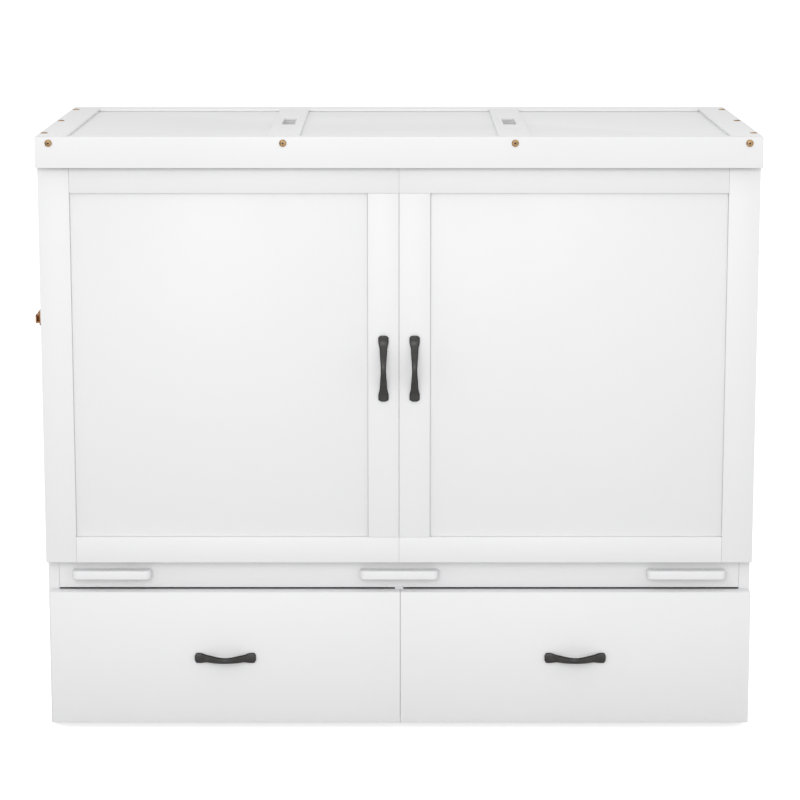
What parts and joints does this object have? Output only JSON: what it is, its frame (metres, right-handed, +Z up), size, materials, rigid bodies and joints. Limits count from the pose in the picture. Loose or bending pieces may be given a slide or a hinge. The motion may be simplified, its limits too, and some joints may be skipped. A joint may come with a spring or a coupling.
{
  "type": "murphy wall bed",
  "caption": "Closed cabinet bed: a lift-up lid, a front that folds down into a slatted bed with a fold-out foot, and drawers below.",
  "frame": {"origin": "on the floor, the middle of the centre divider's bottom face", "axes": "+X to the viewer's right across the bed, +Y back towards the wall, +Z up"},
  "size_m": [1.49, 0.7541, 1.259],
  "materials": {
    "white_paint": "satin white paint",
    "birch": "plain sanded",
    "zinc_plate": "zinc plated",
    "dark_metal": "dark satin",
    "black_metal": "satin black",
    "bronze": "antique bronze"
  },
  "bodies": {
    "cabinet": {"back_panel": "white_paint", "back_top_rail": "white_paint", "centre_divider": "white_paint", "deck_cleat_left": "birch", "deck_cleat_right": "birch", "deck_slats": "birch", "drawer_rail_left_inner": "zinc_plate", "drawer_rail_left_outer": "zinc_plate", "drawer_rail_right_inner": "zinc_plate", "drawer_rail_right_outer": "zinc_plate", "front_rail": "white_paint", "latch_base": "bronze", "lid_hinge_fixed_leaf": "zinc_plate", "panel_pivot_bracket_left": "zinc_plate", "panel_pivot_bracket_right": "zinc_plate", "side_panel_left": "white_paint", "side_panel_right": "white_paint", "support_block_centre": "white_paint", "support_block_left": "white_paint", "support_block_right": "white_paint"},
    "folding_panel": {"door_pull_left": "black_metal", "door_pull_right": "black_metal", "foot_hinge_panel_leaf": "zinc_plate", "latch_keeper": "bronze", "panel_bottom_rail": "white_paint", "panel_inset_left": "white_paint", "panel_inset_right": "white_paint", "panel_middle_stile_left": "white_paint", "panel_middle_stile_right": "white_paint", "panel_outer_stile_left": "white_paint", "panel_outer_stile_right": "white_paint", "panel_slats": "birch", "panel_top_rail": "white_paint"},
    "drawer_left": {"drawer_box_left": "birch", "drawer_front_left": "white_paint", "drawer_pull_left": "black_metal", "drawer_runner_left_inner": "zinc_plate", "drawer_runner_left_outer": "zinc_plate"},
    "drawer_right": {"drawer_box_right": "birch", "drawer_front_right": "white_paint", "drawer_pull_right": "black_metal", "drawer_runner_right_inner": "zinc_plate", "drawer_runner_right_outer": "zinc_plate"},
    "foot_section": {"foot_frame": "birch", "foot_hinge_foot_leaf": "zinc_plate", "foot_slats": "birch"},
    "latch_bolt_body": {"latch_bolt": "bronze"},
    "leg_frame_inner_body": {"leg_frame_inner": "dark_metal"},
    "leg_frame_outer_body": {"leg_frame_outer": "dark_metal"},
    "lid": {"lid_back_rail": "white_paint", "lid_board": "white_paint", "lid_end_stile_left": "white_paint", "lid_end_stile_right": "white_paint", "lid_front_apron": "white_paint", "lid_hinge_moving_leaf": "zinc_plate", "lid_middle_stile_left": "white_paint", "lid_middle_stile_right": "white_paint", "lid_side_apron_left": "white_paint", "lid_side_apron_right": "white_paint"}
  },
  "joints": [
    {"name": "panel_fold", "type": "hinge", "parent": "cabinet", "child": "folding_panel", "pos_m": [0, -0.3445, 0.369], "axis": [1, 0, 0], "range_deg": [0, 90]},
    {"name": "foot_unfold", "type": "hinge", "parent": "folding_panel", "child": "foot_section", "pos_m": [0, -0.331, 1.184], "axis": [1, 0, 0], "range_deg": [0, 180]},
    {"name": "leg_inner_fold", "type": "hinge", "parent": "foot_section", "child": "leg_frame_inner_body", "pos_m": [0, -0.3075, 1.153], "axis": [1, 0, 0], "range_deg": [0, 90]},
    {"name": "leg_outer_fold", "type": "hinge", "parent": "foot_section", "child": "leg_frame_outer_body", "pos_m": [0, -0.3075, 0.785], "axis": [-1, 0, 0], "range_deg": [0, 90]},
    {"name": "lid_open", "type": "hinge", "parent": "cabinet", "child": "lid", "pos_m": [0, 0.3505, 1.238], "axis": [-1, 0, 0], "range_deg": [0, 90]},
    {"name": "drawer_left_slide", "type": "slide", "parent": "cabinet", "child": "drawer_left", "axis": [0, -1, 0], "range_m": [0, 0.4]},
    {"name": "drawer_right_slide", "type": "slide", "parent": "cabinet", "child": "drawer_right", "axis": [0, -1, 0], "range_m": [0, 0.4]},
    {"name": "latch_slide", "type": "slide", "parent": "cabinet", "child": "latch_bolt_body", "axis": [0, -1, 0], "range_m": [0, 0.022]}
  ],
  "couplings": [
    {"joint": "foot_unfold", "follows": "panel_fold", "ratio": 2}
  ]
}
